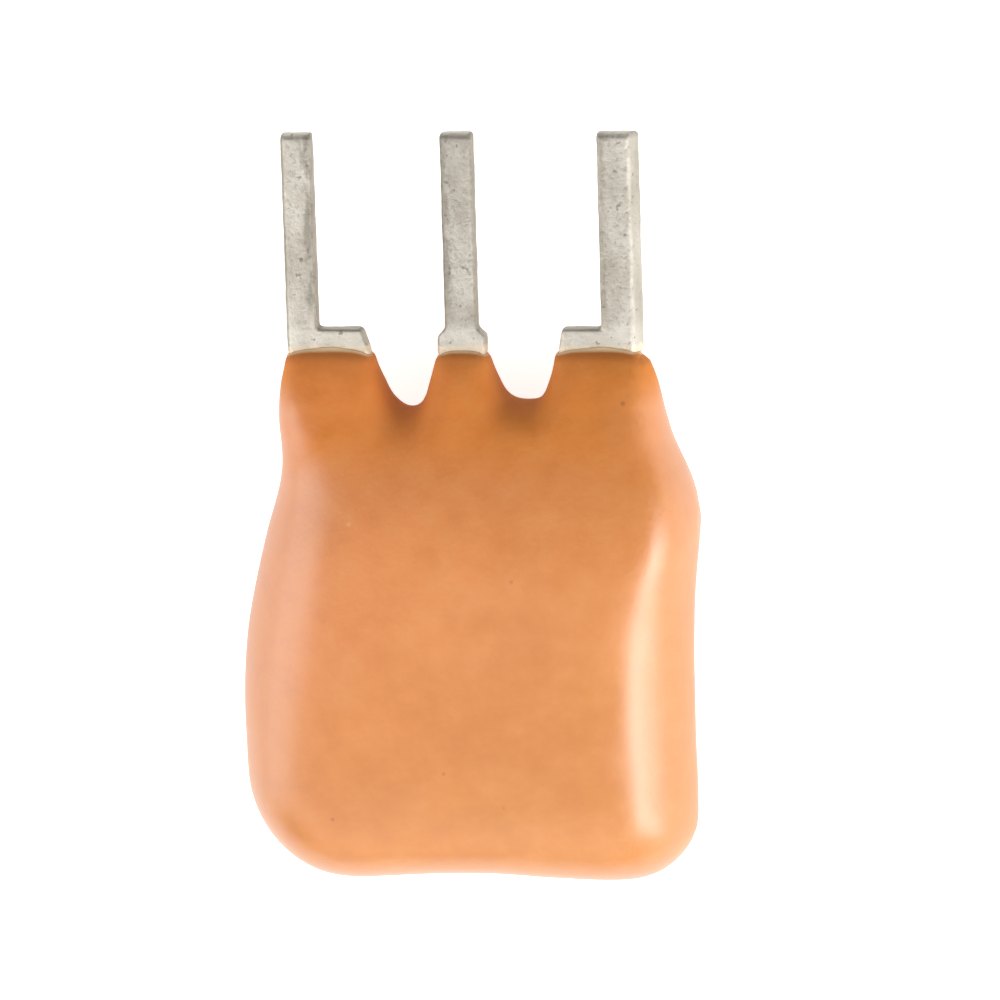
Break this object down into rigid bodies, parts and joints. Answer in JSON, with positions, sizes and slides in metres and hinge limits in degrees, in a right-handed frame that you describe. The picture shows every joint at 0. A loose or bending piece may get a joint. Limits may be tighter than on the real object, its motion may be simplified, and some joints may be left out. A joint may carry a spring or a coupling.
{
  "type": "ceramic resonator",
  "caption": "Dip-coated ceramic resonator with built-in load capacitors, on flat in-line leads with seating feet.",
  "frame": {"origin": "middle of the centre lead on the seating plane, which is the upper faces of the outer feet, and on the mid-plane of the lead strip", "axes": "+Y along the leads towards their tips, +Z out of the front face, +X to the right when the front is seen with the leads up; the part lies on its back"},
  "size_m": [0.0072, 0.0117, 0.003],
  "materials": {
    "resin": "dipped orange epoxy, satin gloss with a fine uneven skin",
    "tinned_strip": "matt hot-tinned strip, slightly mottled",
    "piezo_ceramic": "lapped, unglazed",
    "capacitor_ceramic": "lapped, unglazed",
    "silver_film": "matt printed and fired silver",
    "solder": "smooth reflowed solder"
  },
  "bodies": {
    "root": {"body_coat": "resin", "lead_left": "tinned_strip", "lead_centre": "tinned_strip", "lead_right": "tinned_strip", "resonator_plate": "piezo_ceramic", "resonator_electrode_front": "silver_film", "resonator_electrode_back": "silver_film", "capacitor_plate": "capacitor_ceramic", "capacitor_electrode_left": "silver_film", "capacitor_electrode_right": "silver_film", "capacitor_electrode_ground": "silver_film", "solder_left": "solder", "solder_centre": "solder", "solder_right": "solder"}
  },
  "joints": []
}
